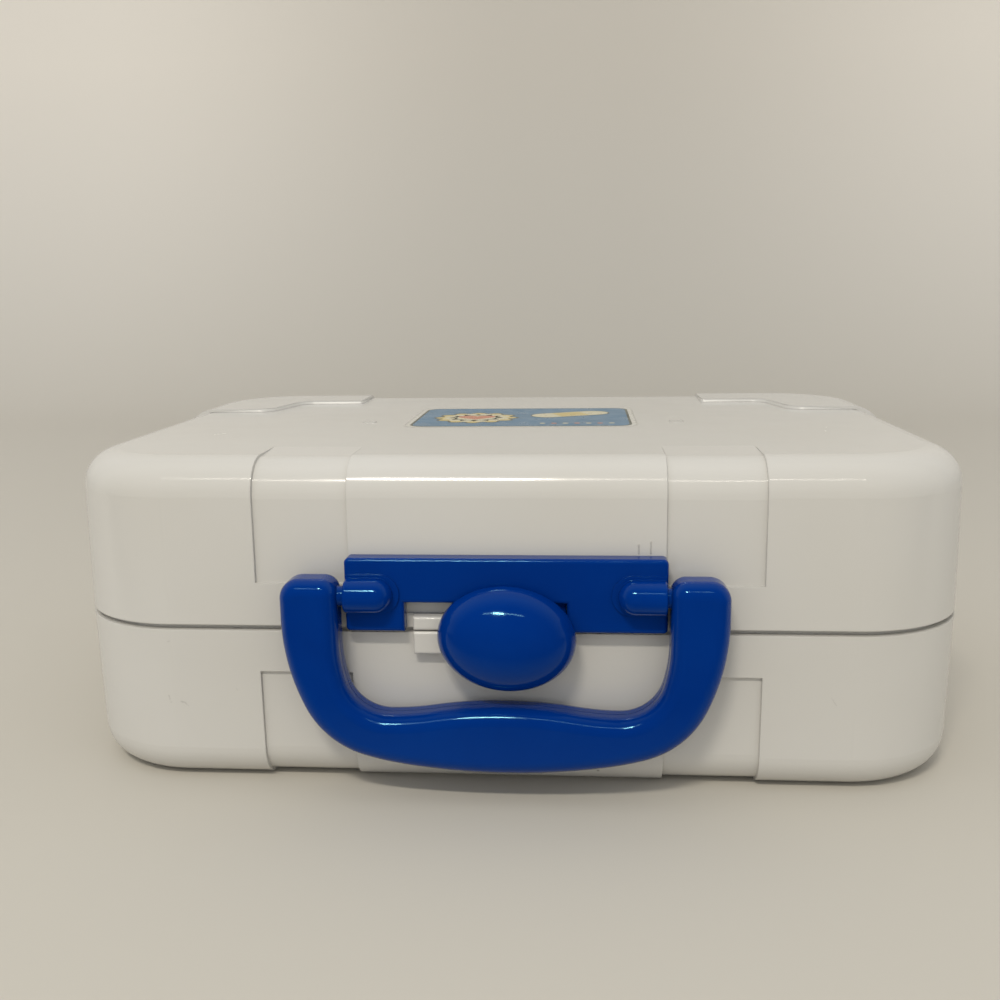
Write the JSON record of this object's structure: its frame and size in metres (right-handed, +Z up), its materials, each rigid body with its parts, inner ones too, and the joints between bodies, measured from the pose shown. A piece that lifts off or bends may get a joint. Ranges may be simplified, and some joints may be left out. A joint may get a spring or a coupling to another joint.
{
  "type": "toy doctor case",
  "caption": "Rounded plastic toy doctor case lying flat, with a hinged lid, a swinging carrying handle and a sliding oval latch.",
  "frame": {"origin": "centre of the base's flat underside", "axes": "+X along the case's width, to the right seen from the handle side; -Y towards the carrying handle, +Y towards the hinges; +Z up, out of the lid's top"},
  "size_m": [0.2824, 0.2169, 0.1034],
  "materials": {
    "white_shell": "glossy warm white moulded plastic",
    "blue_plastic": "glossy royal blue moulded plastic",
    "steel": "zinc-plated steel",
    "label_print": "printed vinyl with a light blue field"
  },
  "bodies": {
    "base": {"base_shell": "white_shell", "hinge_pin_left": "steel", "hinge_pin_right": "steel"},
    "lid": {"lid_shell": "white_shell", "bracket_plate": "blue_plastic", "bracket_screws": "steel", "lid_label": "label_print"},
    "handle": {"handle": "blue_plastic"},
    "latch": {"latch_knob": "blue_plastic", "latch_retainer": "white_shell", "latch_screw": "steel"}
  },
  "joints": [
    {"name": "lid_hinge", "type": "hinge", "parent": "base", "child": "lid", "pos_m": [0, 0.0996, 0.0508], "axis": [-1, 0, 0], "range_deg": [0, 170]},
    {"name": "handle_swing", "type": "hinge", "parent": "lid", "child": "handle", "pos_m": [0, -0.1023, 0.0633], "axis": [-1, 0, 0], "range_deg": [0, 180]},
    {"name": "latch_slide", "type": "slide", "parent": "lid", "child": "latch", "axis": [-1, 0, 0], "range_m": [0, 0.012]}
  ]
}
